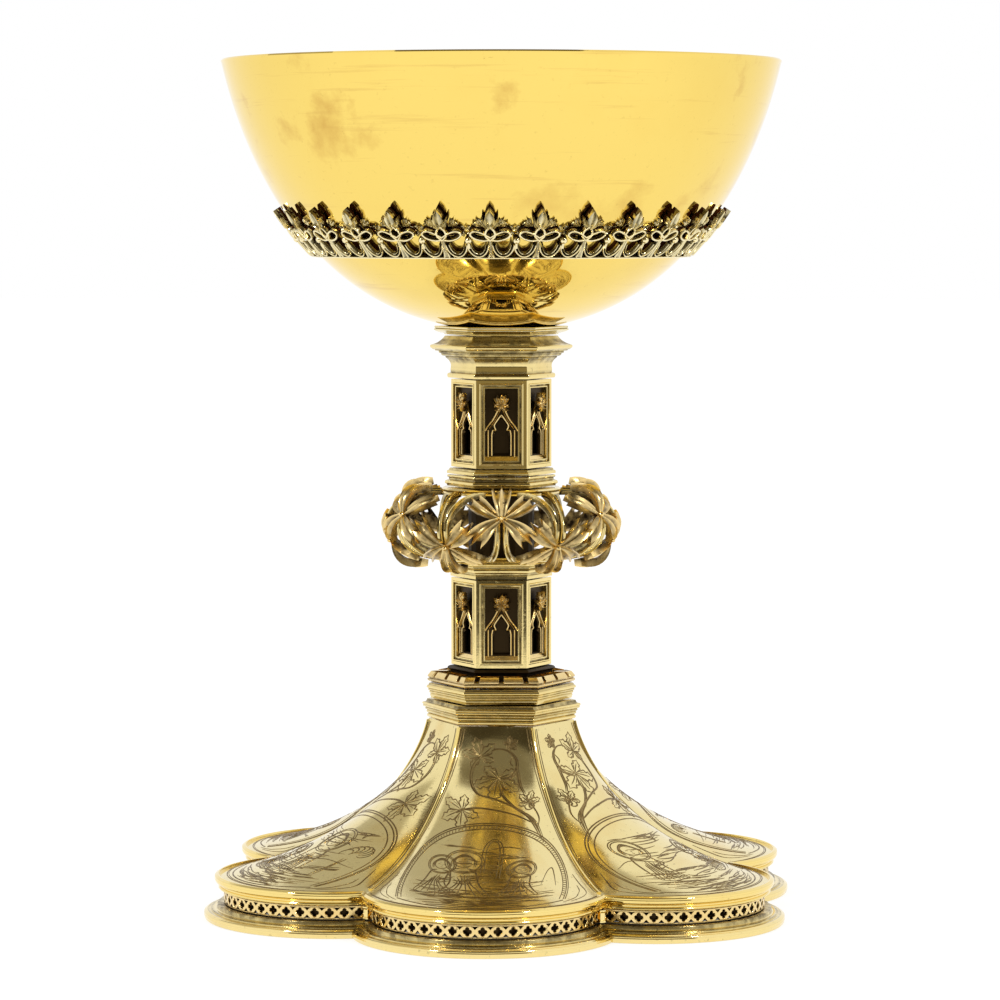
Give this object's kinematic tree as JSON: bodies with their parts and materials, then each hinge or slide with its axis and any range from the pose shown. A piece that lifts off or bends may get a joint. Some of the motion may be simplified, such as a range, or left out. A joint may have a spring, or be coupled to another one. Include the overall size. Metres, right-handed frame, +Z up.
{
  "type": "communion chalice",
  "caption": "Gothic silver-gilt communion chalice: plain bowl in a leaf cresting, hexagonal stem with window tracery, openwork leaf knot and an engraved six-lobed foot on a tie rod.",
  "frame": {"origin": "on the chalice's axis, in the plane it stands on", "axes": "+Z up along the tie rod; one lobe of the foot points towards -Y"},
  "size_m": [0.1286, 0.1398, 0.19],
  "materials": {
    "polished_gilt": "silver-gilt, polished",
    "engraved_gilt": "silver-gilt, engraved and softly worn",
    "cast_gilt": "silver-gilt casting, dark in its recesses",
    "tarnished_gilt": "silver-gilt left tarnished behind openwork",
    "plain_brass": "machined brass"
  },
  "bodies": {
    "chalice": {"base_flange": "engraved_gilt", "battlement_ring": "engraved_gilt", "capital": "polished_gilt", "cup": "polished_gilt", "cup_boss": "plain_brass", "cup_seat": "polished_gilt", "foot_body": "engraved_gilt", "foot_collar": "engraved_gilt", "foot_edge_moulding": "polished_gilt", "gallery_backing": "tarnished_gilt", "gallery_post_1": "engraved_gilt", "gallery_post_2": "engraved_gilt", "gallery_post_3": "engraved_gilt", "gallery_post_4": "engraved_gilt", "gallery_post_5": "engraved_gilt", "gallery_post_6": "engraved_gilt", "knot_bottom_plate": "engraved_gilt", "knot_cage_lower": "cast_gilt", "knot_cage_upper": "cast_gilt", "knot_core": "tarnished_gilt", "knot_leaf_lower_1": "cast_gilt", "knot_leaf_lower_2": "cast_gilt", "knot_leaf_lower_3": "cast_gilt", "knot_leaf_lower_4": "cast_gilt", "knot_leaf_lower_5": "cast_gilt", "knot_leaf_lower_6": "cast_gilt", "knot_leaf_upper_1": "cast_gilt", "knot_leaf_upper_2": "cast_gilt", "knot_leaf_upper_3": "cast_gilt", "knot_leaf_upper_4": "cast_gilt", "knot_leaf_upper_5": "cast_gilt", "knot_leaf_upper_6": "cast_gilt", "knot_top_plate": "engraved_gilt", "leaf_cresting": "cast_gilt", "lower_liner": "tarnished_gilt", "lower_shaft": "polished_gilt", "lower_shaft_shoe": "engraved_gilt", "lower_tracery_1": "cast_gilt", "lower_tracery_2": "cast_gilt", "lower_tracery_3": "cast_gilt", "lower_tracery_4": "cast_gilt", "lower_tracery_5": "cast_gilt", "lower_tracery_6": "cast_gilt", "pierced_gallery": "cast_gilt", "spreader_plate": "plain_brass", "stem_ring": "engraved_gilt", "tie_rod": "plain_brass", "upper_liner": "tarnished_gilt", "upper_shaft": "polished_gilt", "upper_shaft_shoe": "engraved_gilt", "upper_tracery_1": "cast_gilt", "upper_tracery_2": "cast_gilt", "upper_tracery_3": "cast_gilt", "upper_tracery_4": "cast_gilt", "upper_tracery_5": "cast_gilt", "upper_tracery_6": "cast_gilt"},
    "washer": {"washer": "plain_brass"},
    "nut": {"retaining_nut": "plain_brass"}
  },
  "joints": [
    {"name": "washer_slide", "type": "slide", "parent": "chalice", "child": "washer", "axis": [0, 0, -1], "range_m": [0, 0.007]},
    {"name": "nut_turn", "type": "hinge", "parent": "washer", "child": "nut", "pos_m": [0, 0, 0.0332], "axis": [0, 0, 1], "range_deg": [0, 2520]}
  ],
  "couplings": [
    {"joint": "nut_turn", "follows": "washer_slide", "rad_per_m": 6283.2}
  ]
}
